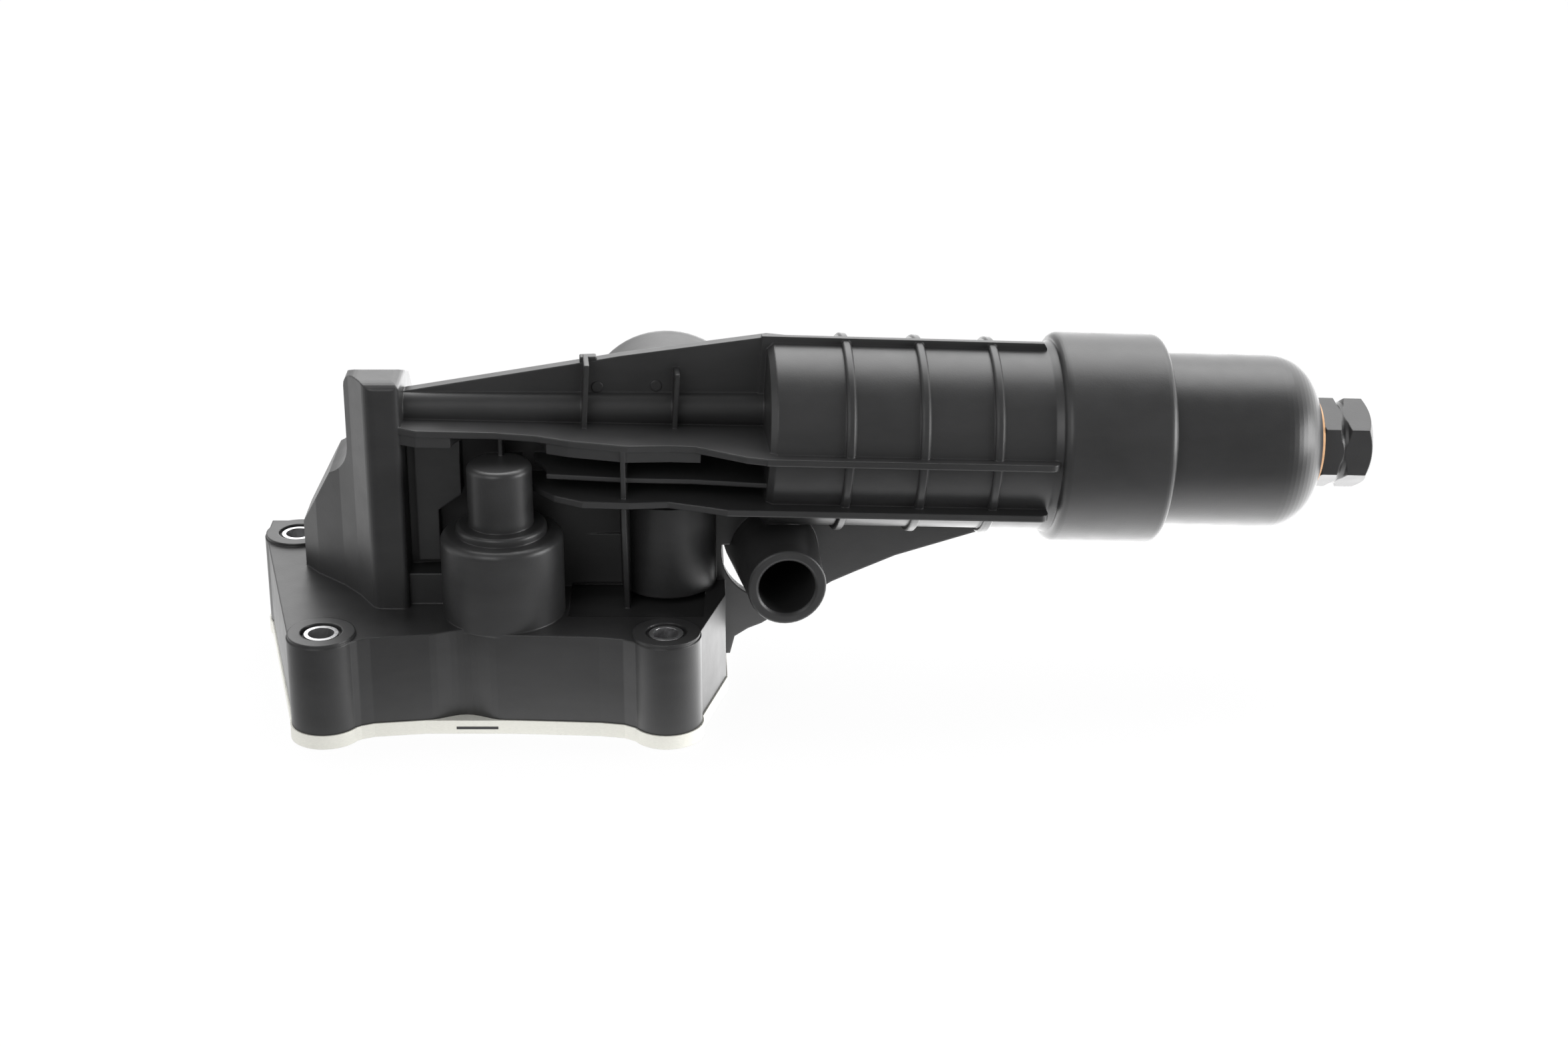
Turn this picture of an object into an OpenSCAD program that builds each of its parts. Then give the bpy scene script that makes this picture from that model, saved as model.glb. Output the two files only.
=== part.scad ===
// Oil filter housing: moulded body with a cartridge bowl, screw cap and drain plug,
// standing on an aluminium base plate. Millimetres, +Z up.
// The origin is on the plate's mounting face, midway between the front bolt holes
// and midway between the bolt rows.

/* [Base plate and flange] */
// Thickness of the aluminium base plate
plate_t = 4.8; // [4:0.2:7]
// How far the plate stands out past the flange
plate_lip = 0.5; // [0.2:0.1:1]
// Height of the moulded flange above the plate
flange_h = 30.9; // [28:0.1:36]
// Height of the bolt pads above the flange
pad_rise = 1.2; // [1:0.1:3]
// Thickness of the flange's roof and walls around its lightening pockets
flange_wall = 4; // [3:0.5:5]
// Distance between the two front bolts
front_span = 112.3; // [108:0.1:118]
// Distance between the front and the rear bolt row
row_span = 82.9; // [78:0.1:88]
// Distance from the middle of the front row to the rear left bolt
rear_left_x = 76.2; // [72:0.1:80]
// Distance from the middle of the front row to the rear right bolt
rear_right_x = 61.5; // [61:0.1:66]
// Radius of the flange around each bolt
corner_r = 11.5; // [10:0.5:13]
// Depth of the waist in the flange's front wall
waist = 4; // [1:0.5:6]

/* [Bolt sleeves] */
// Bore radius of a bolt sleeve
sleeve_bore_r = 4.25; // [4:0.05:5]
// Wall of a bolt sleeve
sleeve_wall = 1.4; // [1:0.1:2]
// Radius of the recess in the pad around a sleeve
recess_r = 6.8; // [6.6:0.1:8]
// Depth of that recess
recess_d = 1.6; // [1:0.2:3]

/* [Bowl and its axis] */
// X of the bowl axis reference point
bowl_x = 122.5; // [118:0.5:128]
// Y of the bowl axis reference point
bowl_y = 10; // [8:0.5:12]
// Height of the bowl axis reference point
bowl_z = 86.7; // [84:0.1:92]
// Turn of the bowl axis away from the bolt rows, in degrees
bowl_yaw = 6; // [4:0.5:8]
// Fall of the bowl axis towards the cap, in degrees
bowl_pitch = 3.7; // [2:0.1:5]
// Outer radius of the bowl
bowl_r = 31.4; // [30.5:0.1:33]
// Wall of the bowl
bowl_wall = 3.4; // [3:0.1:4]
// Floor of the bowl
bowl_floor = 4; // [3.5:0.5:6]
// Distance from the reference point back to the bowl's closed end
bowl_back = 36; // [34:0.5:38]
// Length of the bowl from its closed end to the collar
bowl_len = 96.4; // [94:0.1:104]
// Distance between the ring ribs
ring_pitch = 24.5; // [23:0.1:27]
// Number of ring ribs
ring_count = 3; // [2:1:3]
// Width of a ring rib
ring_w = 3; // [2:0.2:4]
// Height of a ring rib
ring_h = 1.6; // [1:0.1:2.5]
// Thickness of the long fins
fin_t = 2.2; // [1.6:0.1:3]
// Height of the top fin above the bowl
fin_h = 2.2; // [1.4:0.1:4]
// Reach of the upper side fin past the bowl's side
side_fin_h = 4.3; // [3:0.1:5.5]
// Reach of the lower side fin past the bowl's side
low_fin_h = 1.7; // [0.6:0.1:3]
// Height of the upper side fin above the bowl axis
fin_up = 2; // [0:0.5:4]
// Depth of the lower side fin below the bowl axis
fin_down = 16.8; // [14:0.2:20]

/* [Collar and cap] */
// Outer radius of the threaded collar
collar_r = 35.2; // [34.8:0.1:37]
// Length of the collar
collar_len = 37.8; // [36:0.2:42]
// Radius of the collar's thread bore
collar_bore_r = 31.3; // [31:0.1:32]
// Rounding of the collar's edges
collar_round = 2.8; // [1:0.2:3]
// Clearance of the cap's thread in the collar
thread_clear = 0.3; // [0.2:0.05:0.5]
// Outer radius of the cap outside the collar
cap_r = 29.2; // [28.8:0.1:30]
// Wall of the cap
cap_wall = 3; // [2.5:0.1:3.5]
// Length of the cap outside the collar
cap_out = 54.1; // [48:0.1:58]
// Rounding between the cap's side and its end
cap_round = 15.5; // [12:0.5:17]
// Depth of the cap's threaded skirt in the collar
cap_in = 34; // [28:0.5:35]
// Section radius of the cap's seal ring
cap_ring_r = 1.3; // [1:0.1:1.4]
// Fit of every seal ring in the bore that it seals
ring_fit = 0.05; // [0.03:0.01:0.08]

/* [Drain plug] */
// Size of the plug's hexagon across its flats
hex_af = 27; // [24:1:29]
// Length of the hexagon next to the seal
hex_near = 6.3; // [4:0.1:7]
// Width of the groove between the two hexagons
hex_groove = 2.2; // [1.5:0.1:3]
// Length of the outer hexagon
hex_far = 8.6; // [7:0.1:12]
// Turn of the hexagon about the bowl axis, in degrees
hex_turn = 54; // [0:1:59]
// Radius of the plug's shank
shank_r = 7; // [6:0.5:8]
// Length of the plug's shank
shank_len = 14; // [12:0.5:16]
// Outer radius of the plug's seal ring
seal_r = 15; // [14:0.1:15.4]
// Thickness of the plug's seal ring
seal_t = 1.1; // [0.8:0.1:2]

/* [Filter cartridge] */
// Radius of the cartridge's end discs
disc_r = 25.6; // [24:0.1:25.8]
// Thickness of an end disc
disc_t = 3; // [2:0.5:4]
// Space between the cartridge's outer disc and the boss inside the cap
cover_gap = 10.7; // [6:0.1:16]
// Number of pleats
pleats = 44; // [30:1:50]
// Outer radius of the cartridge's centre tube
core_r = 12; // [11.4:0.1:12.4]
// Wall of the centre tube
core_wall = 1.4; // [1:0.1:1.8]
// Outer radius of the standpipe
pipe_r = 8; // [7:0.1:8.4]
// Bore radius of the standpipe
pipe_bore_r = 5; // [4:0.1:5.4]
// Length of the standpipe above its foot
pipe_len = 34; // [26:1:40]

/* [Galleries, ducts and web] */
// Outer radius of the long gallery on the web
gallery_r = 6.5; // [6:0.1:8]
// Bore radius of the long gallery
gallery_bore_r = 4.2; // [3.5:0.1:5]
// Height of the long gallery above the bowl axis
gallery_up = 7.6; // [7:0.1:8.2]
// Fall of the long gallery towards the tower in the bowl's frame, in degrees
gallery_fall = 1.3; // [0:0.1:2]
// Thickness of the upright web
web_t = 4; // [3:0.2:6]
// X of the tower's oil duct
tower_x = -40; // [-41:0.5:-39]
// Y of the tower's oil duct
tower_y = -4; // [-5:0.5:-3]
// Bore radius of the tower's oil duct
tower_bore_r = 7.5; // [6:0.5:8]
// Height of the tower above the mounting face
tower_top = 115; // [112:0.5:118]
// X of the inlet duct behind the web
inlet_x = 51; // [50:0.5:53]
// Y of the inlet duct behind the web
inlet_y = 25; // [24:0.5:27]
// Bore radius of the inlet duct
inlet_bore_r = 10; // [9:0.5:11]
// X of the round chamber behind the web
dome_x = 54.2; // [53:0.1:55]
// Outer radius of that chamber
dome_r = 28; // [27:0.5:29]
// Distance from the rows' middle to the chamber's closed end
dome_back = 48; // [46:0.5:50]

/* [Stub pipe] */
// X of the stub pipe's mouth
stub_x = 95.6; // [94:0.5:98]
// Y of the stub pipe's mouth
stub_y = -27; // [-30:0.5:-24]
// Height of the stub pipe's axis
stub_z = 46; // [45:0.5:48]
// Turn of the stub pipe's axis, in degrees
stub_yaw = 8; // [5:1:10]
// Bore radius of the stub pipe
stub_bore_r = 9.4; // [8.5:0.1:10]
// Wall of the stub pipe
stub_wall = 3.7; // [3:0.1:4.5]
// Outer radius of the stub pipe at its root
stub_root_r = 15.8; // [15:0.1:17]
// Length of the stub pipe
stub_len = 56; // [52:1:60]
// Depth of the stub pipe's bore
stub_bore_len = 50; // [46:1:52]

/* [Relief valve] */
// X of the valve boss
boss_x = 1.8; // [0:0.1:4]
// Y of the valve boss
boss_y = -21.2; // [-22:0.1:-20]
// Radius of the valve boss's lower part
boss_r = 20.2; // [19:0.1:21]
// Radius of the valve boss's upper part
boss_neck_r = 10.7; // [10:0.1:12]
// Height of the shoulder between them
boss_shoulder = 64; // [60:0.5:68]
// Height of the valve boss's top
boss_top = 88; // [84:0.5:89]
// Bore radius of the valve's cylinder
valve_bore_r = 14; // [13:0.5:15]
// Running clearance of the piston in that bore
piston_clear = 0.08; // [0.05:0.01:0.1]
// Length of the valve piston
piston_len = 14; // [12:0.5:16]
// Travel of the valve piston
piston_travel = 8; // [4:1:10]

/* [Check valve] */
// Radius of the check valve's disc
flap_r = 7.6; // [7:0.1:8]
// Thickness of that disc
flap_t = 2; // [1.5:0.1:2.5]
// Travel of that disc
flap_travel = 5; // [3:0.5:6]

/* [Gaskets] */
// Width of a gasket's bead
bead_w = 2.4; // [2:0.1:3]
// Height of a gasket's bead
bead_h = 1.6; // [1.2:0.1:2]

/* [Hidden] */
$fn = 72;
eps = 0.02;
seat_gap = 0.1;
black = "#303134";
steel = "#b9bcc0";

flange_top = plate_t + flange_h;
pad_top = flange_top + pad_rise;
front_left = [-front_span / 2, -row_span / 2];
front_right = [front_span / 2, -row_span / 2];
rear_left = [-rear_left_x, row_span / 2];
rear_right = [rear_right_x, row_span / 2];
bolt_places = [front_left, front_right, rear_left, rear_right];
sleeve_r = sleeve_bore_r + sleeve_wall;

// Stations along the bowl axis, counted from the reference point
s_back = -bowl_back;
s_floor = s_back + bowl_floor;
s_collar = s_back + bowl_len;
s_mouth = s_collar + collar_len;
s_end = s_mouth + cap_out;
s_skirt = s_mouth - cap_in;
bowl_bore_r = bowl_r - bowl_wall;
thread_r = collar_bore_r - thread_clear;
groove_half = cap_ring_r + 0.3;
cap_ring_s = s_skirt + 4;
cap_groove_r = collar_bore_r - ring_fit - 2 * cap_ring_r - 0.05;

// The cartridge
foot_t = 3;
foot_r = 14;
s_disc = s_floor + 6;
s_media = s_disc + disc_t;
hub_bore_r = pipe_r + 1.3;
pipe_ring_r = 1.2;
pipe_ring_s = s_disc + 6;
boss_in_r = shank_r + 4;
boss_in_len = 18;
s_boss = s_end - cap_wall - 1 - boss_in_len;
s_cover = s_boss - cover_gap - disc_t;
media_len = s_cover - s_media;
hub_grip = 7;

// The round chamber's axis below the bowl's, and the stub pipe's link above the pipe's
dome_down = 3.4;
link_up = 4;

// The tower and its skirt, in plan and from the front
tower_left = -49.5;
tower_right = -29.8;
skirt_left = -69.4;
skirt_back = 34;

// Placing along the bowl axis and in the upright plane through it
module on_axis(s = 0) {
    translate([bowl_x, bowl_y, bowl_z]) rotate([0, 90 + bowl_pitch, bowl_yaw])
        translate([0, 0, s]) children();
}
module bowl_frame() {
    translate([bowl_x, bowl_y, bowl_z]) rotate([0, bowl_pitch, bowl_yaw]) children();
}
module web_frame() {
    translate([bowl_x, bowl_y, 0]) rotate([0, 0, bowl_yaw]) children();
}
function web_point(s, up) = [s * cos(bowl_pitch) + up * sin(bowl_pitch),
    bowl_z - s * sin(bowl_pitch) + up * cos(bowl_pitch)];
function plane_y(x) = bowl_y + (x - bowl_x) * tan(bowl_yaw);
function arc(c, r, from, to, steps = 8) =
    [for (i = [0:steps]) c + r * [cos(from + (to - from) * i / steps), sin(from + (to - from) * i / steps)]];

// A ring seal of round section, across the bowl axis
module ring_seal(middle_r, section_r) {
    rotate_extrude() translate([middle_r, 0]) circle(r = section_r, $fn = 24);
}

// A round drum whose far edge, and if asked its near edge, is rounded
module round_drum(r, len, round_far, round_near = 0) {
    near = round_near == 0 ? [[r, 0]] : arc([r - round_near, round_near], round_near, -90, 0, 6);
    rotate_extrude() polygon(concat([[0, 0]], near,
        arc([r - round_far, len - round_far], round_far, 0, 90, 6), [[0, len]]));
}

// Outline of the flange, with its corners round the bolts
module flange_outline(grow = 0, notch = 0) {
    for (p = bolt_places) translate(p) circle(r = corner_r + grow);
    fy = front_left[1];
    g = grow;
    waist_x = -10.4;
    waist_half = 13;
    steps = notch == 0 ? 1 : 12;
    dip = [for (i = [0:steps]) let (a = 360 * i / steps - 180)
        [waist_x + waist_half * a / 180, fy + notch * (1 + cos(a)) / 2 - g]];
    polygon(concat([[front_left[0] - corner_r + 0.3 - g, fy], [front_left[0] + 9, fy - 6.4 - g],
        [front_left[0] + 12, fy - 4 - g], [front_left[0] + 16, fy - 2.3 - g]], dip,
        [[10, fy - 0.3 - g], [front_right[0] - 22, fy - 1.8 - g],
        [front_right[0] - 14, fy - 3.3 - g], [front_right[0] - 9, fy - 6.4 - g],
        [front_right[0] + corner_r - 2.4 + g, fy - 5], [front_right[0] + 18.65 + g, fy + 32.2],
        [rear_right[0] + corner_r - 0.2 + g, rear_right[1]],
        [rear_right[0] - 9, rear_right[1] + 6.4 + g], [rear_right[0] - 16, rear_right[1] + 4 + g],
        [rear_left[0] + 16, rear_left[1] + 4 + g], [rear_left[0] + 9, rear_left[1] + 6.4 + g],
        [rear_left[0] - corner_r + 0.3 - g, rear_left[1]]]));
}

// The gasket line round the three ports in the flange's foot
module gasket_line(extra = 0) {
    w = bead_w + 2 * extra;
    ports = [[tower_x, tower_y, tower_bore_r + 3], [boss_x, boss_y, valve_bore_r + 2.6],
        [inlet_x, inlet_y, inlet_bore_r + 1.9]];
    for (p = ports) translate([p[0], p[1]]) difference() {
        circle(r = p[2] + w / 2);
        circle(r = p[2] - w / 2);
    }
    for (i = [0, 1]) {
        a = ports[i];
        b = ports[i + 1];
        d = [b[0] - a[0], b[1] - a[1]];
        span = norm(d) - a[2] - b[2];
        translate([a[0], a[1]]) rotate(atan2(d[1], d[0])) translate([a[2], -w / 4]) square([span, w / 2]);
    }
}

// Flange with its bolt pads
module flange_block() {
    translate([0, 0, plate_t]) linear_extrude(flange_h) flange_outline(0, waist);
    for (p = bolt_places) translate([p[0], p[1], flange_top - 3])
        cylinder(r = corner_r - 0.4, h = pad_rise + 3);
    translate([rear_left[0] - corner_r + 1, rear_left[1], flange_top - 3])
        cube([2 * corner_r - 2, corner_r - 1.5, pad_rise + 3]);
}

// Tower, whose left side flares out into a skirt over the flange
module tower() {
    flare_r = 16;
    base = flange_top - 1;
    front_y = -21.3;
    intersection() {
        translate([0, 0, base]) linear_extrude(tower_top) polygon(concat([[tower_right, skirt_back],
            [skirt_left, skirt_back], [skirt_left, 15.6], [-63.6, 7.9], [tower_left - 3.9, -2],
            [tower_left + 2, -9.5]], arc([tower_left + 11.7, front_y + 5], 5, 215, 270, 5),
            arc([tower_right - 2, front_y + 2], 2, -90, 0, 4)));
        translate([0, skirt_back + 1, 0]) rotate([90, 0, 0]) linear_extrude(80) polygon(concat(
            arc([tower_left - flare_r, tower_top - 26], flare_r, 0, -60, 10),
            [[skirt_left, boss_shoulder - 12], [skirt_left, base], [tower_right, base]],
            arc([tower_right - 2.5, tower_top - 2.5], 2.5, 0, 90, 4),
            arc([tower_left + 5.5, tower_top - 5.5], 5.5, 90, 180, 6)));
        translate([skirt_left - 1, 0, 0]) rotate([90, 0, 90]) linear_extrude(60) polygon(concat(
            [[front_y - 1, base], [skirt_back + 1, base], [skirt_back + 1, flange_top + 34],
            [20, tower_top - 20], [8, tower_top - 6]], arc([-7.5, tower_top - 4], 4, 60, 90, 3),
            arc([front_y + 4, tower_top - 5], 5, 90, 180, 6), [[front_y - 1, tower_top - 6]]));
    }
    // Panel beside the tower, under the upper shelf
    translate([0, plane_y(-20), 0]) rotate([90, 0, 0]) linear_extrude(8) polygon([[-26.7, 50],
        [-19.5, 50], [-19.5, 68], [-11.8, 73.5], [-11.8, 95.4], [-26.7, 95.4]]);
}

// Upright web through the bowl axis, from the tower to the gusset under the bowl
module web() {
    right_edge = front_right[0] + 17.35 - bowl_x;
    web_frame() translate([0, web_t / 2, 0]) rotate([90, 0, 0]) linear_extrude(web_t)
        difference() {
            polygon([web_point(-165, 9.2), web_point(-99, 22.2), web_point(-84, 25.3),
                web_point(s_back, bowl_r + fin_h - 0.3), web_point(40, bowl_r - 4),
                web_point(40, -34.6), web_point(12.5, -44), web_point(-0.9, -50.3),
                web_point(-8.6, -54.1), web_point(-20, -62), web_point(-31.7, -70.1),
                web_point(-36.2, -72.1), web_point(-40.6, -75.2), [right_edge + 2, 8],
                [right_edge, 8], [right_edge, flange_top - 1], [tower_left - bowl_x + 8, flange_top - 1]]);
            // Crescent-shaped window beside the stub pipe
            intersection() {
                translate([stub_x - 4.5 - bowl_x, stub_z]) difference() {
                    circle(r = stub_root_r + 2.5);
                    circle(r = stub_root_r - 1.2);
                }
                translate([right_edge - 8, stub_z - 16]) square([17, 18.5]);
            }
        }
}

// A level shelf in the bowl's frame, whose front edge is a list of [s, y]
module shelf(up, t, edge) {
    bowl_frame() translate([0, 0, up - t / 2]) linear_extrude(t)
        polygon(concat(edge, [[edge[len(edge) - 1][0], 0], [edge[0][0], 0]]));
}

module shelves() {
    reach = bowl_r + side_fin_h;
    low_reach = bowl_r + low_fin_h;
    shelf(fin_up, fin_t, [[-157, -14], [-150, -17], [-124, -17], [-112, -18.6], [-101, -22.6],
        [-82, -26.4], [-68, -25], [-60, -25.4], [-52, -29.6], [-44, -33.7], [s_back, -reach],
        [s_back + 4, -reach]]);
    difference() {
        union() {
            // Lip under the upper shelf, and the middle shelf
            shelf(fin_up - 2.4, 4.8, [[-157, -13.4], [-150, -16.4], [-124, -16.4], [-112, -18],
                [-101, -22], [-82, -25.8], [-68, -24.4], [-58, -24.6]]);
            shelf(-9.9, fin_t - 0.6, [[-111, -21], [-82, -23.5], [-60, -23.5], [s_back + 2, -26]]);
        }
        // Round pocket over the neck of the valve boss
        translate([boss_x, boss_y, boss_top - 16]) cylinder(r = boss_neck_r + 4.8, h = 40);
    }
    shelf(-fin_down, fin_t, [[-112, -14], [-105, -23.7], [-96, -28.4], [-81, -28.8], [-68, -27],
        [-55, -31], [-49, -low_reach], [s_back + 5, -low_reach]]);
}

// Upright ribs: one under the shelves, two across the upper channel
module ribs() {
    t = 1.6;
    translate([42.2 - t / 2, 0, 0]) rotate([90, 0, 90]) linear_extrude(t) polygon([[3, flange_top - 3],
        [-16, flange_top - 3], [-24, boss_shoulder + 2], [-24.6, 94], [3, 94]]);
    for (s = [-95.5, -65.6]) bowl_frame() translate([s - t / 2, -11.5 + (s + 95.5) * 0.06, fin_up])
        cube([t, 11.5, s < -80 ? 23 : 20]);
    translate([boss_x - 0.6, boss_y + 6, boss_shoulder - 1]) cube([1.2, 10, boss_top - boss_shoulder + 7]);
}

// Long gallery on the web, from the tower to the bowl's floor
module on_gallery(start) {
    bowl_frame() translate([s_back + start, 0, gallery_up]) rotate([0, -90 - gallery_fall, 0]) children();
}
module gallery() {
    on_gallery(1) cylinder(r = gallery_r, h = 125);
}

// Stepped round boss of the relief valve
module valve_boss() {
    translate([boss_x, boss_y, flange_top - 1])
        round_drum(boss_r, boss_shoulder - flange_top + 1, 2.5);
    translate([boss_x, boss_y, boss_shoulder - 1]) round_drum((boss_r + boss_neck_r) / 2 - 0.5, 4, 1.2);
    translate([boss_x, boss_y, boss_shoulder - 1])
        round_drum(boss_neck_r, boss_top - boss_shoulder + 1, 2);
    translate([boss_x - 6, boss_y, flange_top - 1]) cube([12, 20, boss_top - flange_top - 2]);
}

// Ducts and walls that close the body at its right end and behind the web
module ducts() {
    duct_top = bowl_z - 8;
    translate([inlet_x + 4.5, 1, flange_top - 1]) cylinder(r = 16, h = 34);
    translate([inlet_x, inlet_y, flange_top - 1]) cylinder(r = inlet_bore_r + 4.6, h = duct_top - flange_top);
    translate([tower_right - 2, plane_y(-10) + 2, flange_top - 1]) cube([inlet_x + 16 - tower_right, 22, 20]);
    translate([tower_right - 1, plane_y(-20) - 12, flange_top - 1]) cube([18, 16, 12]);
    // Round chamber, whose top shows above the web
    translate([dome_x, plane_y(dome_x), bowl_z - dome_down]) rotate([-90, 0, 0])
        round_drum(dome_r, dome_back - plane_y(dome_x), 7);
    // Passage from the chamber to the bowl
    bowl_frame() translate([-74, 19, 0]) rotate([0, 90, 0]) cylinder(r = 9.5, h = 74 - bowl_back + 1);
    // Bypass passage from the valve to the chamber
    translate([boss_x - 4, 18, boss_top - 10]) rotate([0, 90, 0]) cylinder(r = 7, h = 32);
    translate([boss_x, 0, boss_top - 10]) rotate([-90, 0, 0]) cylinder(r = 7, h = 18);
}

// Outline of one ring rib on the bowl's side, from station s
function ring_step(s) = [[bowl_r, s], [bowl_r + ring_h - 0.6, s], [bowl_r + ring_h, s + 0.6],
    [bowl_r + ring_h, s + ring_w - 0.6], [bowl_r + ring_h - 0.6, s + ring_w], [bowl_r, s + ring_w]];

// A side fin of the bowl, on both sides of it
module side_fin(up, reach, length) {
    bowl_frame() translate([s_back, 0, up - fin_t / 2]) linear_extrude(fin_t) polygon(concat(
        [[-1.5, -reach]], arc([length - 3, -reach + 3], 3, -90, 0, 5),
        arc([length - 3, reach - 3], 3, 0, 90, 5), [[-1.5, reach]]));
}

// Bowl with its ring ribs and long fins, and the threaded collar
module bowl_outside() {
    first_ring = s_back + ring_pitch;
    on_axis() rotate_extrude() polygon(concat([[0, s_back]],
        [[bowl_r - 2, s_back], [bowl_r, s_back + 2]],
        [for (i = [0:ring_count - 1]) each ring_step(first_ring + i * ring_pitch)],
        [[bowl_r, s_collar - 2.6], [bowl_r + 0.6, s_collar - 0.9], [collar_r - collar_round, s_collar]],
        arc([collar_r - collar_round, s_collar + collar_round], collar_round, -90, 0, 5),
        arc([collar_r - collar_round, s_mouth - collar_round], collar_round, 0, 90, 5), [[0, s_mouth]]));
    // Top fin, a little to the front of the bowl's middle
    top_len = bowl_len - 0.8;
    bowl_frame() translate([s_back - 2, -0.3, 0]) rotate([90, 0, 0]) linear_extrude(fin_t)
        polygon([[0, 0], [top_len, 0], [top_len, bowl_r + fin_h - 1.6],
            [top_len - 1, bowl_r + fin_h], [0, bowl_r + fin_h]]);
    side_fin(fin_up, bowl_r + side_fin_h, bowl_len - 1.3);
    side_fin(-fin_down, bowl_r + low_fin_h, bowl_len - 3.1);
}

// Stub pipe, with its mouth towards the front
module on_stub() {
    translate([stub_x, stub_y, stub_z]) rotate([-90, 0, stub_yaw]) children();
}
module stub_outside() {
    r = stub_bore_r + stub_wall;
    on_stub() rotate_extrude() polygon(concat([[0, 0]], arc([r - 0.8, 0.8], 0.8, -90, 0, 6),
        [[r, 6], [stub_root_r, stub_len - 12]],
        arc([stub_root_r - 3, stub_len - 3], 3, 0, 90, 6), [[0, stub_len]]));
    // Link from the pipe's far end to the inlet duct
    translate([inlet_x + 4, inlet_y - 4, stub_z + link_up]) rotate([0, 90, 0])
        cylinder(r = 7.5, h = stub_x - inlet_x - 10);
}

// Everything that is hollow in the body
module cavities() {
    // Bowl, thread bore and its lead-in
    on_axis(s_floor) cylinder(r = bowl_bore_r, h = bowl_len + 2);
    on_axis(s_collar + 1) cylinder(r = collar_bore_r, h = collar_len + 1);
    on_axis(s_mouth - 1.2) cylinder(r1 = collar_bore_r, r2 = collar_bore_r + 0.8, h = 1.6);
    // Clean oil: plenum behind the standpipe, gallery and tower duct
    on_axis(s_floor - 2.4) cylinder(r = foot_r - 1.5, h = 4);
    on_gallery(3) cylinder(r = gallery_bore_r, h = 130);
    translate([tower_x, tower_y, plate_t - 1]) cylinder(r = tower_bore_r, h = tower_top - 8 - plate_t);
    // Dirty oil: inlet duct, round chamber and passage to the bowl
    translate([inlet_x, inlet_y, plate_t - 1]) cylinder(r = inlet_bore_r, h = bowl_z - 8);
    translate([dome_x, plane_y(dome_x) + 6, bowl_z - dome_down]) rotate([-90, 0, 0])
        cylinder(r = dome_r - 4, h = dome_back - plane_y(dome_x) - 10);
    bowl_frame() translate([-70, 19, 0]) rotate([0, 90, 0]) cylinder(r = 6.5, h = s_floor + 72);
    // Relief valve: cylinder, seat bore and its cross bore to the chamber
    translate([boss_x, boss_y, plate_t - 1]) cylinder(r = valve_bore_r, h = boss_shoulder - plate_t - 5);
    translate([boss_x, boss_y, plate_t + 10]) cylinder(r = 6.5, h = boss_top - plate_t - 14);
    translate([boss_x, boss_y, boss_top - 10]) rotate([-90, 0, 0]) cylinder(r = 4, h = 19 - boss_y);
    translate([boss_x, 18, boss_top - 10]) rotate([0, 90, 0]) cylinder(r = 4, h = inlet_x - boss_x - 10);
    // Stub pipe and its link to the inlet duct
    on_stub() translate([0, 0, -1]) cylinder(r = stub_bore_r, h = stub_bore_len + 1);
    on_stub() translate([0, 0, -eps]) cylinder(r1 = stub_bore_r + 0.8, r2 = stub_bore_r, h = 0.8);
    translate([inlet_x, inlet_y - 4, stub_z + link_up]) rotate([0, 90, 0])
        cylinder(r = 5, h = stub_x - inlet_x - 8);
    // Bolt sleeves and the recesses round their tops
    for (p = bolt_places) translate([p[0], p[1], plate_t - 1]) cylinder(r = sleeve_r, h = pad_top);
    for (p = bolt_places) translate([p[0], p[1], pad_top - recess_d])
        cylinder(r = recess_r, h = recess_d + 1);
    // Lightening pockets in the flange's foot
    pocket_h = flange_h - flange_wall + 1;
    translate([rear_left[0] + 6, -4, plate_t - 1])
        cube([tower_x - tower_bore_r - 6 - rear_left[0] - 6, 28, pocket_h]);
    translate([-24, 4, plate_t - 1]) cube([26, 40, pocket_h]);
    translate([5, 6, plate_t - 1]) cube([26, 38, pocket_h]);
    translate([27, -34, plate_t - 1]) cube([18, 34, pocket_h]);
    translate([48, -26, plate_t - 1]) cube([15, 32, pocket_h]);
    // Sunken floor behind the front edge, right of the valve boss
    translate([23, -27, flange_top - 2]) cube([45, 30, 3]);
    // Gasket groove
    translate([0, 0, plate_t - 1]) linear_extrude(bead_h + 1) gasket_line(0.15);
}

module housing() {
    color(black) difference() {
        union() {
            flange_block();
            tower();
            web();
            shelves();
            gallery();
            valve_boss();
            ducts();
            bowl_outside();
            stub_outside();
        }
        cavities();
    }
    color(black) ribs();
}

module base_plate() {
    color("#cfcdc2") difference() {
        linear_extrude(plate_t) flange_outline(plate_lip, 0);
        for (p = bolt_places) translate([p[0], p[1], -1]) cylinder(r = sleeve_bore_r, h = plate_t + 2);
        translate([tower_x, tower_y, -1]) cylinder(r = tower_bore_r, h = plate_t + 2);
        translate([inlet_x, inlet_y, -1]) cylinder(r = inlet_bore_r - 2.5, h = plate_t + 2);
        translate([boss_x, boss_y, -1]) cylinder(r = 6.5, h = plate_t + 2);
        translate([0, 0, -1]) linear_extrude(bead_h + 1) gasket_line(0.15);
    }
}

module housing_gasket() {
    color("#1b1b1c") translate([0, 0, plate_t]) linear_extrude(bead_h) gasket_line();
}
module base_gasket() {
    color("#1b1b1c") linear_extrude(bead_h) gasket_line();
}

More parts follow.
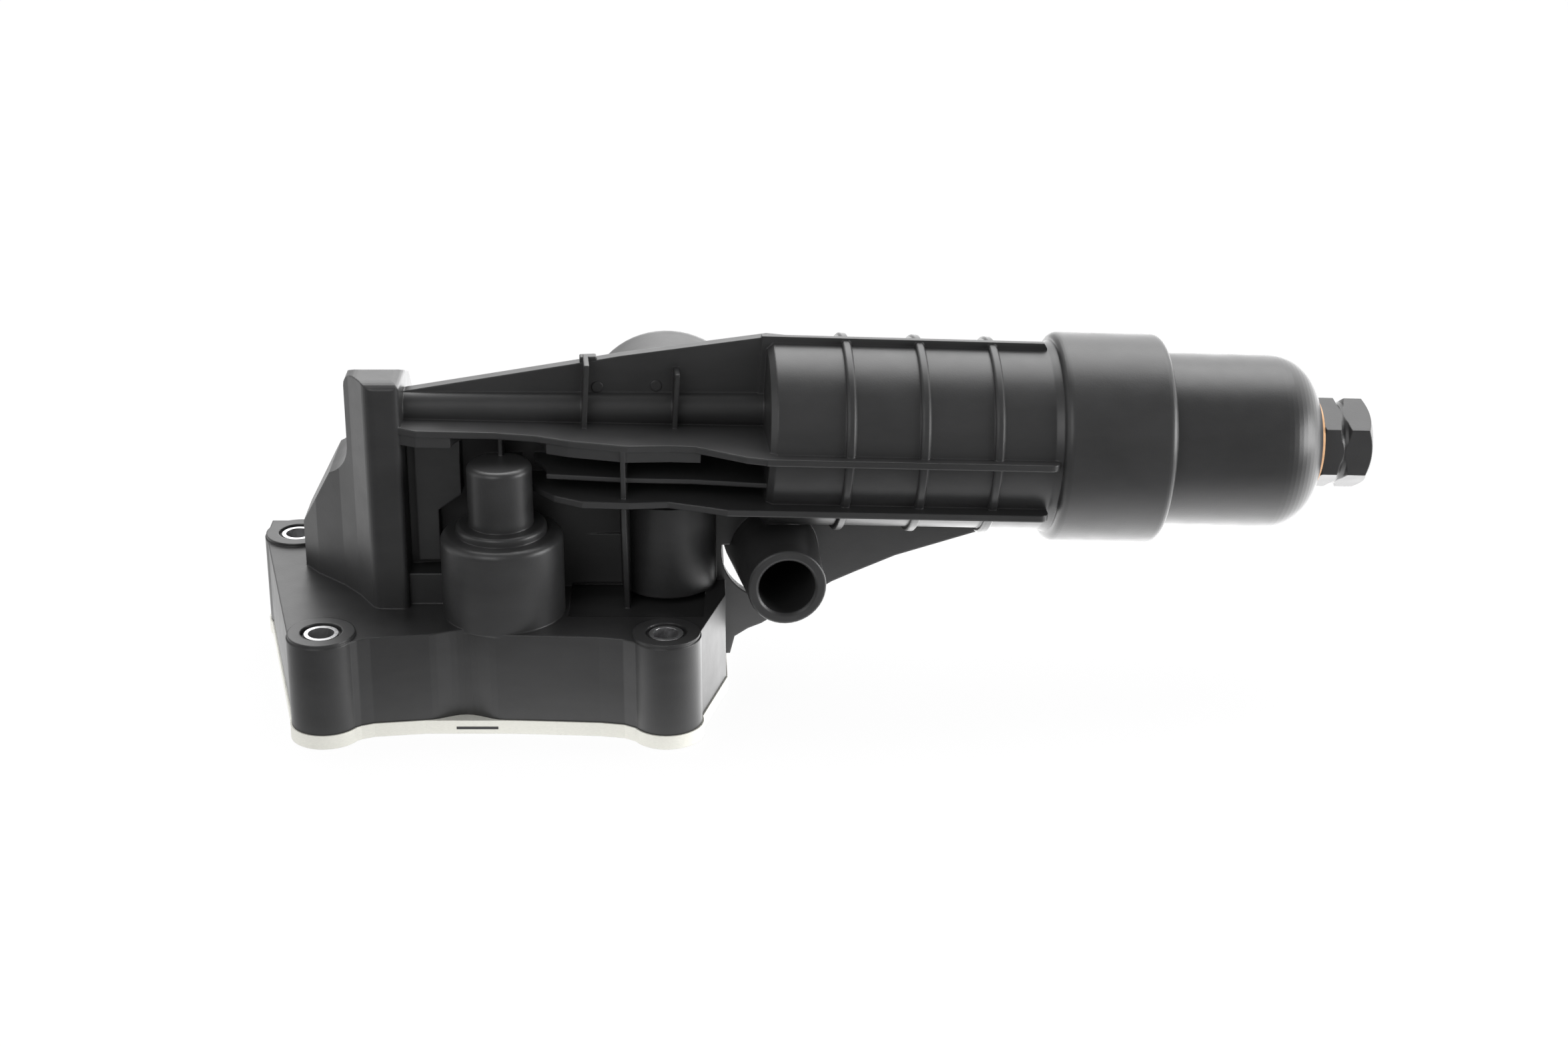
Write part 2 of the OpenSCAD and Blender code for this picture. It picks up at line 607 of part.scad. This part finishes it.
module bolt_sleeve(place) {
    color(steel) translate([place[0], place[1], plate_t]) difference() {
        cylinder(r = sleeve_r, h = pad_top - plate_t - 0.5);
        translate([0, 0, -1]) cylinder(r = sleeve_bore_r, h = pad_top);
    }
}
module sleeve_front_left() { bolt_sleeve(front_left); }
module sleeve_front_right() { bolt_sleeve(front_right); }
module sleeve_rear_left() { bolt_sleeve(rear_left); }
module sleeve_rear_right() { bolt_sleeve(rear_right); }

// Standpipe: a foot on the bowl's floor and a tube up into the cartridge
module standpipe() {
    color("#55585c") on_axis() difference() {
        union() {
            translate([0, 0, s_floor]) cylinder(r = foot_r, h = foot_t);
            translate([0, 0, s_floor]) cylinder(r = pipe_r, h = foot_t + pipe_len);
        }
        translate([0, 0, s_floor - 1]) cylinder(r = pipe_bore_r, h = foot_t + pipe_len + 2);
        translate([0, 0, pipe_ring_s - pipe_ring_r - 0.2]) difference() {
            cylinder(r = pipe_r + 1, h = 2 * pipe_ring_r + 0.4);
            cylinder(r = hub_bore_r - ring_fit - 2 * pipe_ring_r - 0.05, h = 2 * pipe_ring_r + 0.4);
        }
    }
}
module standpipe_ring() {
    color("#1b1b1c") on_axis(pipe_ring_s) ring_seal(hub_bore_r - ring_fit - pipe_ring_r, pipe_ring_r);
}

// Pleated medium: a folded wall between two zigzag outlines
function zigzag(tip, root) = [for (i = [0:2 * pleats - 1])
    (i % 2 == 0 ? tip : root) * [cos(180 * i / pleats), sin(180 * i / pleats)]];
module filter_media() {
    tip = disc_r - 1.2;
    root = core_r + 2;
    color("#e3d7b4") on_axis(s_media) linear_extrude(media_len) difference() {
        polygon(zigzag(tip, root));
        polygon(zigzag(tip - 1.8, root - 1.6));
    }
}
module filter_inner_disc() {
    color("#2e5f3c") on_axis(s_disc) difference() {
        cylinder(r = disc_r, h = disc_t);
        translate([0, 0, -1]) cylinder(r = hub_bore_r, h = disc_t + 10);
    }
    color("#2e5f3c") on_axis(s_media) difference() {
        cylinder(r = core_r - core_wall, h = 8);
        translate([0, 0, -1]) cylinder(r = hub_bore_r, h = 10);
    }
}
// The outer disc has a hub that turns on the boss inside the cap
module filter_outer_disc() {
    hub_h = cover_gap + hub_grip;
    color("#2e5f3c") on_axis(s_cover) difference() {
        union() {
            cylinder(r = disc_r, h = disc_t);
            translate([0, 0, disc_t]) cylinder(r = boss_in_r + 0.3 + 2, h = hub_h);
        }
        translate([0, 0, disc_t]) cylinder(r = boss_in_r + 0.3, h = hub_h + 1);
    }
}
module centre_tube() {
    window_l = 8;
    rows = floor((media_len - 20) / 14);
    color("#3f4245") on_axis(s_media) difference() {
        cylinder(r = core_r, h = media_len);
        translate([0, 0, -1]) cylinder(r = core_r - core_wall, h = media_len + 2);
        for (i = [0:rows - 1], a = [0, 60, 120]) translate([0, 0, 14 + i * 14]) rotate(a)
            translate([-core_r - 1, -2, 0]) cube([2 * core_r + 2, 4, window_l]);
    }
}

// Screw cap: threaded skirt, round end and the boss for the drain plug
module screw_cap() {
    in_end = s_end - cap_wall - 1;
    color(black) on_axis() difference() {
        rotate_extrude() polygon(concat([[0, s_skirt], [thread_r, s_skirt], [thread_r, s_mouth - 1],
            [cap_r, s_mouth - 1 + thread_r - cap_r]],
            arc([cap_r - cap_round, s_end - cap_round], cap_round, 0, 90, 14), [[0, s_end]]));
        difference() {
            rotate_extrude() polygon(concat([[0, s_skirt - 1], [cap_r - cap_wall, s_skirt - 1]],
                arc([cap_r - cap_round, s_end - cap_round - 0.6], cap_round - cap_wall, 0, 90, 10),
                [[0, in_end]]));
            translate([0, 0, in_end - boss_in_len]) cylinder(r = boss_in_r, h = boss_in_len + 2);
        }
        // Drain bore and the groove of the seal ring
        translate([0, 0, s_end - shank_len - 12]) cylinder(r = shank_r + seat_gap, h = shank_len + 20);
        translate([0, 0, cap_ring_s - groove_half]) difference() {
            cylinder(r = thread_r + 1, h = 2 * groove_half);
            translate([0, 0, -1]) cylinder(r = cap_groove_r, h = 2 * groove_half + 2);
        }
        // Thread, as turned rings
        for (i = [0:4]) translate([0, 0, s_skirt + 9 + 4 * i]) difference() {
            cylinder(r = thread_r + 1, h = 1.6);
            cylinder(r1 = thread_r - 0.9, r2 = thread_r - 0.9, h = 1.6);
        }
    }
}
module cap_ring() {
    color("#1b1b1c") on_axis(cap_ring_s) ring_seal(collar_bore_r - ring_fit - cap_ring_r, cap_ring_r);
}

// Drain plug: shank, two hexagons and the groove between them
module drain_plug() {
    hex_r = hex_af / 2 / cos(30);
    chamfer = 2;
    head = hex_near + hex_groove + hex_far;
    color(black) on_axis(s_end + seal_t) {
        translate([0, 0, -seal_t - shank_len]) cylinder(r = shank_r, h = seal_t + shank_len + 1);
        intersection() {
            rotate(hex_turn) cylinder(r = hex_r, h = head, $fn = 6);
            rotate_extrude() polygon([[0, 0], [hex_r - 0.7, 0], [hex_r + 0.4, 0.8],
                [hex_r + 0.4, hex_near - 1],
                [hex_r - 1.6, hex_near], [hex_r - 2.2, hex_near + hex_groove / 2],
                [hex_r - 1.6, hex_near + hex_groove], [hex_r + 0.4, hex_near + hex_groove + 1],
                [hex_r + 0.4, head - chamfer], [hex_r - 2.4, head], [0, head]]);
        }
    }
}
module drain_plug_seal() {
    color("#d8843c") on_axis(s_end) difference() {
        cylinder(r = seal_r, h = seal_t);
        translate([0, 0, -1]) cylinder(r = shank_r + seat_gap, h = seal_t + 2);
    }
}

// Relief valve: piston on its seat, spring below it and retainer in the foot
module on_valve(z) {
    translate([boss_x, boss_y, z]) children();
}
valve_seat = boss_shoulder - 6;
piston_low = valve_seat - piston_len;
spring_squeezed = 25.2;
retainer_h = piston_low - piston_travel - spring_squeezed - plate_t;
module relief_piston() {
    color(steel) on_valve(piston_low) difference() {
        round_drum(valve_bore_r - piston_clear, piston_len, 1, 0.5);
        translate([0, 0, -1]) cylinder(r = valve_bore_r - 2.5, h = piston_len - 2);
    }
}
// A coil spring, as a helix of round wire
module coil_spring(middle_r, wire_r, low, high, turns) {
    pitch = (high - low - 2 * wire_r) / turns;
    sides = 8;
    steps = 16;
    rings = turns * steps;
    function place(k, j) = let (a = 360 * k / steps, b = 360 * j / sides, r = middle_r + wire_r * cos(b))
        [r * cos(a), r * sin(a), low + wire_r + pitch * k / steps + wire_r * sin(b)];
    polyhedron(points = [for (k = [0:rings], j = [0:sides - 1]) place(k, j)],
        faces = concat([[for (j = [sides - 1:-1:0]) j]],
            [for (k = [0:rings - 1], j = [0:sides - 1]) [k * sides + j, k * sides + (j + 1) % sides,
                (k + 1) * sides + (j + 1) % sides, (k + 1) * sides + j]],
            [[for (j = [0:sides - 1]) rings * sides + j]]));
}
module relief_spring() {
    color(steel) on_valve(0)
        coil_spring(valve_bore_r - 4, 1.1, plate_t + retainer_h + 0.1, valve_seat - 3.1, 5);
}
module relief_retainer() {
    color("#4a4d52") on_valve(plate_t) difference() {
        cylinder(r = valve_bore_r - seat_gap, h = retainer_h);
        translate([0, 0, -1]) cylinder(r = 6, h = retainer_h + 2);
        for (a = [0:60:300]) rotate(a) translate([9.6, 0, -1])
            cylinder(r = 1.6, h = retainer_h + 2, $fn = 24);
    }
}

// Check valve in the inlet duct: cage, disc on its seat and a light spring
module on_check(z) {
    translate([inlet_x, inlet_y, z]) children();
}
cage_foot = 3;
cage_top = 2.5;
cage_h = cage_foot + flap_t + flap_travel + 9.5 + cage_top;
stem_r = 1.8;
module check_cage() {
    r = inlet_bore_r - seat_gap;
    color("#4a4d52") on_check(plate_t) difference() {
        cylinder(r = r, h = cage_h);
        translate([0, 0, cage_foot]) cylinder(r = r - 1.6, h = cage_h - cage_foot - cage_top);
        translate([0, 0, -1]) cylinder(r = flap_r - 1.4, h = cage_foot + 2);
        translate([0, 0, cage_h - cage_top - 1]) cylinder(r = stem_r + 0.3, h = cage_top + 2);
        for (a = [0, 60, 120]) translate([0, 0, cage_foot + 1]) rotate(a)
            translate([-r - 1, -2.5, 0]) cube([2 * r + 2, 5, cage_h - cage_foot - cage_top - 2]);
        for (a = [30:60:330]) rotate(a) translate([6, 0, cage_h - cage_top - 1])
            cylinder(r = 1.4, h = cage_top + 2, $fn = 24);
    }
}
module check_disc() {
    color(steel) on_check(plate_t + cage_foot) {
        cylinder(r = flap_r, h = flap_t);
        cylinder(r = stem_r, h = cage_h - cage_foot + 1);
    }
}
module check_spring() {
    low = plate_t + cage_foot + flap_t + 0.05;
    high = plate_t + cage_h - cage_top - 0.05;
    color(steel) on_check(0) coil_spring(stem_r + 1.6, 0.5, low, high, 5);
}

housing();
base_plate();
housing_gasket();
base_gasket();
sleeve_front_left();
sleeve_front_right();
sleeve_rear_left();
sleeve_rear_right();
standpipe();
standpipe_ring();
filter_media();
filter_inner_disc();
filter_outer_disc();
centre_tube();
screw_cap();
cap_ring();
drain_plug();
drain_plug_seal();
relief_piston();
relief_spring();
relief_retainer();
check_cage();
check_disc();
check_spring();
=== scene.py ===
from math import pi, radians, tan

import bmesh
import bpy
from mathutils import Matrix, Vector


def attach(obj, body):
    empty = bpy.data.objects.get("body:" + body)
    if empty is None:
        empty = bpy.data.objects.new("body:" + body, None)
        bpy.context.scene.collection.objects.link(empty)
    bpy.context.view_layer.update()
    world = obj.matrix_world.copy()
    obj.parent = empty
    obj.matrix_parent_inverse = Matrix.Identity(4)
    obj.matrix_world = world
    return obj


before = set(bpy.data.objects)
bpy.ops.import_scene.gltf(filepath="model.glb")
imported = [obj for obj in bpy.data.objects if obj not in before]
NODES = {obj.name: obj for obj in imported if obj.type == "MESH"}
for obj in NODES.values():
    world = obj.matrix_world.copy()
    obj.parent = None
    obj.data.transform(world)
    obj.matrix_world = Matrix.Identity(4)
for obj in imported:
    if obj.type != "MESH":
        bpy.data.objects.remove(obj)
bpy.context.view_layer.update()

MM = 0.001

# Camera, in the frame's own axes
CAMERA_AT = (0.0945, -0.9069, 0.4427)
CAMERA_DOWN = 23.0
LENS = 67.4
SENSOR = 36.0

# Bowl axis, as in the part's source
BOWL_POINT = Vector((0.1225, 0.010, 0.0867))
BOWL_YAW = radians(6)
WEB_HALF = 0.002

# Light: the world's strength as a lamp, and the bright tent that reflections see
WORLD_DIM = 0.7
SKY_REAR = (-0.15, 0.5, 0.22, 2.6)
SKY_LEFT = (-0.6, 0.0, 0.2, 1.0)
FLOOR_REAR = (-0.13, 0.05, 0.3, 4.0)
FLOOR_LEFT = (-0.13, 0.02, 0.3, 1.0)


def make_camera():
    data = bpy.data.cameras.new("camera")
    data.lens = LENS
    data.sensor_width = SENSOR
    data.clip_start = 0.05
    data.clip_end = 20
    camera = bpy.data.objects.new("camera", data)
    bpy.context.scene.collection.objects.link(camera)
    camera.location = CAMERA_AT
    camera.rotation_euler = (radians(90 - CAMERA_DOWN), 0, 0)
    bpy.context.scene.camera = camera


def tent(tree, place, rear, left):
    """Strength that rises from the front to the rear, and from the left inwards.

    rear and left each hold where the rise starts and ends, and its two strengths.
    """
    split = tree.nodes.new("ShaderNodeSeparateXYZ")
    tree.links.new(place, split.inputs[0])
    both = tree.nodes.new("ShaderNodeMath")
    both.operation = "MULTIPLY"
    for number, (axis, values) in enumerate((("Y", rear), ("X", left))):
        rise = tree.nodes.new("ShaderNodeMapRange")
        rise.interpolation_type = "SMOOTHSTEP"
        for name, value in zip(("From Min", "From Max", "To Min", "To Max"), values):
            rise.inputs[name].default_value = value
        tree.links.new(split.outputs[axis], rise.inputs["Value"])
        tree.links.new(rise.outputs["Result"], both.inputs[number])
    return both.outputs[0]


def make_world():
    """White to the camera, dim as a lamp, and a soft tent behind the part to reflections."""
    world = bpy.data.worlds.new("studio")
    world.use_nodes = True
    bpy.context.scene.world = world
    tree = world.node_tree
    nodes, links = tree.nodes, tree.links
    nodes.clear()
    path = nodes.new("ShaderNodeLightPath")
    place = nodes.new("ShaderNodeTexCoord")
    glow = tent(tree, place.outputs["Generated"], SKY_REAR, SKY_LEFT)
    layers = []
    for strength in (WORLD_DIM, glow, 1.0):
        layer = nodes.new("ShaderNodeBackground")
        if isinstance(strength, float):
            layer.inputs["Strength"].default_value = strength
        else:
            links.new(strength, layer.inputs["Strength"])
        layer.inputs["Color"].default_value = (1, 1, 1, 1)
        layers.append(layer.outputs[0])
    shown = layers[0]
    for ray, layer in (("Is Glossy Ray", layers[1]), ("Is Camera Ray", layers[2])):
        mix = nodes.new("ShaderNodeMixShader")
        links.new(path.outputs[ray], mix.inputs["Fac"])
        links.new(shown, mix.inputs[1])
        links.new(layer, mix.inputs[2])
        shown = mix.outputs[0]
    out = nodes.new("ShaderNodeOutputWorld")
    links.new(shown, out.inputs["Surface"])


def make_light(name, at, aim, size, watts, colour=(1, 1, 1)):
    data = bpy.data.lights.new(name, "AREA")
    data.shape = "RECTANGLE"
    data.size, data.size_y = size
    data.energy = watts
    data.color = colour
    light = bpy.data.objects.new(name, data)
    bpy.context.scene.collection.objects.link(light)
    light.location = at
    light.rotation_euler = (Vector(aim) - Vector(at)).to_track_quat("-Z", "Y").to_euler()


def make_floor():
    mesh = bpy.data.meshes.new("floor")
    half = 4.0
    corners = [(-half, -half, 0), (half, -half, 0), (half, half, 0), (-half, half, 0)]
    mesh.from_pydata(corners, [], [(0, 1, 2, 3)])
    floor = bpy.data.objects.new("floor", mesh)
    floor.location = (0, 0, -0.0006)
    bpy.context.scene.collection.objects.link(floor)
    material = bpy.data.materials.new("floor_white")
    material.use_nodes = True
    tree = material.node_tree
    shader = tree.nodes["Principled BSDF"]
    shader.inputs["Base Color"].default_value = (0.9, 0.9, 0.91, 1)
    shader.inputs["Roughness"].default_value = 0.7
    path = tree.nodes.new("ShaderNodeLightPath")
    place = tree.nodes.new("ShaderNodeTexCoord")
    glow = tent(tree, place.outputs["Object"], FLOOR_REAR, FLOOR_LEFT)
    shown = shader.outputs[0]
    for ray, share, strength in (("Is Glossy Ray", 1.0, glow), ("Is Camera Ray", 0.94, None)):
        emit = tree.nodes.new("ShaderNodeEmission")
        if strength is not None:
            tree.links.new(strength, emit.inputs["Strength"])
        part = tree.nodes.new("ShaderNodeMath")
        part.operation = "MULTIPLY"
        part.inputs[1].default_value = share
        tree.links.new(path.outputs[ray], part.inputs[0])
        mix = tree.nodes.new("ShaderNodeMixShader")
        tree.links.new(part.outputs[0], mix.inputs["Fac"])
        tree.links.new(shown, mix.inputs[1])
        tree.links.new(emit.outputs[0], mix.inputs[2])
        shown = mix.outputs[0]
    tree.links.new(shown, tree.nodes["Material Output"].inputs["Surface"])
    mesh.materials.append(material)


class Shader:
    """Short names for building one node material round a Principled shader."""

    def __init__(self, name):
        self.material = bpy.data.materials.new(name)
        self.material.use_nodes = True
        self.tree = self.material.node_tree
        self.main = self.tree.nodes["Principled BSDF"]
        self.place = self.add("ShaderNodeTexCoord").outputs["Object"]

    def add(self, kind, **values):
        node = self.tree.nodes.new(kind)
        for key, value in values.items():
            if hasattr(node, key):
                setattr(node, key, value)
            else:
                node.inputs[key.replace("_", " ")].default_value = value
        return node

    def link(self, a, b):
        self.tree.links.new(a, b)

    def noise(self, scale, detail=3.0, rough=0.55, stretch=None):
        node = self.add("ShaderNodeTexNoise", Scale=scale, Detail=detail, Roughness=rough)
        source = self.place
        if stretch:
            mapping = self.add("ShaderNodeMapping", Scale=stretch)
            self.link(source, mapping.inputs["Vector"])
            source = mapping.outputs["Vector"]
        self.link(source, node.inputs["Vector"])
        return node.outputs["Fac"]

    def ramp(self, value, stops):
        node = self.add("ShaderNodeValToRGB")
        elements = node.color_ramp.elements
        while len(elements) < len(stops):
            elements.new(0.5)
        for element, (at, colour) in zip(elements, stops):
            element.position = at
            element.color = (*colour, 1) if len(colour) == 3 else colour
        self.link(value, node.inputs["Fac"])
        return node.outputs["Color"]

    def spread(self, value, low, high):
        node = self.add("ShaderNodeMapRange")
        node.inputs["To Min"].default_value = low
        node.inputs["To Max"].default_value = high
        self.link(value, node.inputs["Value"])
        return node.outputs["Result"]

    def bump(self, height, strength, distance, under=None):
        node = self.add("ShaderNodeBump", Strength=strength, Distance=distance)
        self.link(height, node.inputs["Height"])
        if under is not None:
            self.link(under, node.inputs["Normal"])
        return node.outputs["Normal"]

    def rounded(self, radius):
        node = self.add("ShaderNodeBevel", samples=6, Radius=radius)
        return node.outputs["Normal"]

    def finish(self, normal):
        self.link(normal, self.main.inputs["Normal"])
        return self.material


def moulded(name, dark, light, rough, edge):
    """Black glass-filled nylon: satin, with a fine grain and faint flow marks."""
    s = Shader(name)
    flow = s.noise(26, 5, 0.6, (0.5, 1.0, 1.4))
    s.link(s.ramp(flow, [(0.3, dark), (0.7, light)]), s.main.inputs["Base Color"])
    s.link(s.spread(s.noise(140, 4), rough - 0.05, rough + 0.07), s.main.inputs["Roughness"])
    s.main.inputs["Specular IOR Level"].default_value = 0.5
    s.main.inputs["Coat Weight"].default_value = 0.0
    normal = s.rounded(edge)
    normal = s.bump(s.noise(1900, 2), 0.18, 0.00012, normal)
    normal = s.bump(s.noise(60, 3), 0.10, 0.0008, normal)
    return s.finish(normal)


def turned_metal(name, colour, rough, stretch, metallic=1.0):
    s = Shader(name)
    s.main.inputs["Metallic"].default_value = metallic
    grain = s.noise(900, 4, 0.6, stretch)
    low = tuple(c * 0.86 for c in colour)
    s.link(s.ramp(grain, [(0.3, low), (0.75, colour)]), s.main.inputs["Base Color"])
    s.link(s.spread(grain, rough - 0.06, rough + 0.1), s.main.inputs["Roughness"])
    return s.finish(s.bump(grain, 0.25, 0.00006, s.rounded(0.0002)))


def rubber(name, colour, rough=0.6):
    s = Shader(name)
    low = tuple(c * 0.75 for c in colour)
    s.link(s.ramp(s.noise(240, 4), [(0.3, low), (0.7, colour)]), s.main.inputs["Base Color"])
    s.main.inputs["Roughness"].default_value = rough
    return s.finish(s.bump(s.noise(2400, 2), 0.2, 0.00008))


def pressed_paper(name, colour):
    s = Shader(name)
    low = tuple(c * 0.82 for c in colour)
    s.link(s.ramp(s.noise(700, 6, 0.7), [(0.25, low), (0.7, colour)]), s.main.inputs["Base Color"])
    s.main.inputs["Roughness"].default_value = 0.9
    return s.finish(s.bump(s.noise(1600, 4, 0.7), 0.4, 0.0002))


def dress(node, material):
    mesh = NODES[node].data
    mesh.materials.clear()
    mesh.materials.append(material)


def on_web(x, z):
    """Frame on the web's front face at the given X and height: X along it, Z out of it."""
    y = BOWL_POINT.y + (x - BOWL_POINT.x) * tan(BOWL_YAW)
    turn = Matrix.Rotation(BOWL_YAW, 4, "Z") @ Matrix.Rotation(pi / 2, 4, "X")
    return Matrix.Translation((x, y, z)) @ turn @ Matrix.Translation((0, 0, WEB_HALF))


def detail(name, material, place, build):
    """A small piece fixed to the body: a moulded mark, or a thin dark block of painted shade."""
    shape = bmesh.new()
    build(shape)
    bmesh.ops.transform(shape, matrix=place, verts=shape.verts)
    mesh = bpy.data.meshes.new(name)
    shape.to_mesh(mesh)
    shape.free()
    mesh.materials.append(material)
    piece = bpy.data.objects.new(name, mesh)
    bpy.context.scene.collection.objects.link(piece)
    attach(piece, "body")


def disc(radius, height):
    def build(shape):
        bmesh.ops.create_cone(shape, cap_ends=True, segments=48, radius1=radius,
                              radius2=radius - 0.15 * MM, depth=height)
    return build


def block(size, rounding):
    def build(shape):
        bmesh.ops.create_cube(shape, size=1)
        bmesh.ops.scale(shape, vec=size, verts=shape.verts)
        bmesh.ops.bevel(shape, geom=shape.edges[:], offset=rounding, segments=3, profile=0.5,
                        affect="EDGES")
    return build


def make_details(body, dark):
    # Marks of the ejector pins on the web, and the small stop on its top edge
    for number, (x, z) in enumerate(((0.0329, 0.1069), (0.0521, 0.1066))):
        detail("ejector_mark_%d" % (number + 1), body, on_web(x, z), disc(2.1 * MM, 0.5 * MM))
    detail("web_stop", body, on_web(0.0302, 0.1157) @ Matrix.Translation((0, 0, -WEB_HALF)),
           block((5.6 * MM, 3.4 * MM, 3.6 * MM), 0.5 * MM))
    # Thin dark block on the plate's front edge: painted shade, standing in for the shadow inside a slot
    detail("painted_slot_shade", dark, Matrix.Translation((-0.0066, -0.0419, 0.0021)),
           block((13.8 * MM, 0.3 * MM, 1.0 * MM), 0.1 * MM))


def dress_all():
    body = moulded("body_nylon", (0.013, 0.013, 0.0133), (0.024, 0.024, 0.0245), 0.38, 0.0008)
    cap = moulded("cap_nylon", (0.013, 0.013, 0.0133), (0.021, 0.021, 0.0215), 0.36, 0.0006)
    inner = moulded("inner_nylon", (0.07, 0.075, 0.08), (0.10, 0.105, 0.11), 0.5, 0.0003)
    plate = turned_metal("plate_metal", (0.69, 0.685, 0.63), 0.5, (1, 1, 6), 0.35)
    steel = turned_metal("sleeve_steel", (0.74, 0.74, 0.75), 0.28, (1, 1, 8))
    spring = turned_metal("spring_steel", (0.62, 0.62, 0.64), 0.3, (1, 1, 1))
    black_rubber = rubber("black_rubber", (0.025, 0.025, 0.026))
    orange = rubber("orange_seal", (0.80, 0.47, 0.25), 0.45)
    green = rubber("end_disc", (0.05, 0.12, 0.07))
    paper = pressed_paper("filter_paper", (0.72, 0.60, 0.38))
    finishes = {
        "housing": body, "base_plate": plate, "housing_gasket": black_rubber, "base_gasket": black_rubber,
        "standpipe": inner, "standpipe_ring": black_rubber, "filter_media": paper,
        "filter_inner_disc": green, "filter_outer_disc": green, "centre_tube": inner,
        "screw_cap": cap, "cap_ring": black_rubber, "drain_plug": cap, "drain_plug_seal": orange,
        "relief_piston": steel, "relief_spring": spring, "relief_retainer": inner,
        "check_cage": inner, "check_disc": steel, "check_spring": spring,
    }
    for node in NODES:
        dress(node, finishes.get(node, steel))
    make_details(body, black_rubber)


make_camera()
make_world()
make_floor()
make_light("key_above", (0.15, 0.55, 1.1), (0.1, 0, 0.06), (1.6, 0.9), 14)
make_light("fill_front", (-0.5, -1.2, 0.9), (0.1, 0, 0.06), (0.9, 0.9), 8)
make_light("side_left", (-1.0, -0.25, 0.35), (0.0, 0, 0.06), (0.7, 0.7), 2)
make_light("side_right", (1.2, -0.2, 0.2), (0.1, 0, 0.05), (0.7, 0.5), 12)
dress_all()

bpy.context.scene.view_settings.view_transform = "Standard"
